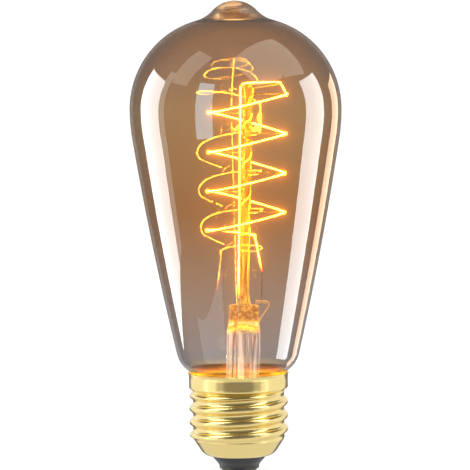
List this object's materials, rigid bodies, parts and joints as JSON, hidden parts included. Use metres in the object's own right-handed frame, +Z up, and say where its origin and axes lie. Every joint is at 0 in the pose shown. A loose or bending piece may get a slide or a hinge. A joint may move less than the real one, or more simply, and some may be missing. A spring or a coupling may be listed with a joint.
{
  "type": "incandescent bulb",
  "caption": "Pear-shaped amber glass bulb with a moulded tip, a spiral filament on a glass stem, and a brass screw cap.",
  "frame": {"origin": "centre of the end contact's flat face, on the axis of the screw cap", "axes": "+Z up the cap's axis to the tip of the glass, -Y towards the front that the picture shows, +X to the front's right"},
  "size_m": [0.056, 0.056, 0.1255],
  "materials": {
    "amber_glass": "clear blown glass with a smoky amber tint, smooth and glossy",
    "stem_glass": "clear lead glass, fire polished",
    "support_metal": "drawn molybdenum wire, dull grey",
    "filament_metal": "coiled tungsten wire, lit and glowing yellow",
    "lead_metal": "nickel wire and strip, satin",
    "seal_metal": "copper-clad seal wire with a red oxide skin",
    "cap_brass": "rolled brass sheet, bright with fine rolling marks",
    "cement": "baked basing cement, matt and slightly grainy",
    "black_insulator": "opaque black glass, moulded and glossy",
    "solder": "tin solder, flowed smooth and slightly dull"
  },
  "bodies": {
    "root": {"glass_envelope": "amber_glass", "stem_seal": "stem_glass", "stem_flare": "stem_glass", "stem_press": "stem_glass", "exhaust_tube": "stem_glass", "centre_rod": "stem_glass", "support_wire_1": "support_metal", "support_wire_2": "support_metal", "support_wire_3": "support_metal", "support_wire_4": "support_metal", "support_wire_5": "support_metal", "support_wire_6": "support_metal", "support_wire_7": "support_metal", "support_wire_8": "support_metal", "top_support_right": "support_metal", "top_support_left": "support_metal", "low_support": "support_metal", "filament": "filament_metal", "clamp_right": "lead_metal", "clamp_left": "lead_metal", "inner_lead_right": "lead_metal", "inner_lead_left": "lead_metal", "outer_lead_side": "lead_metal", "outer_lead_centre": "lead_metal", "seal_wire_right": "seal_metal", "seal_wire_left": "seal_metal", "screw_shell": "cap_brass", "centre_contact": "cap_brass", "cement_ring": "cement", "insulator": "black_insulator", "end_solder": "solder", "side_solder": "solder"}
  },
  "joints": []
}
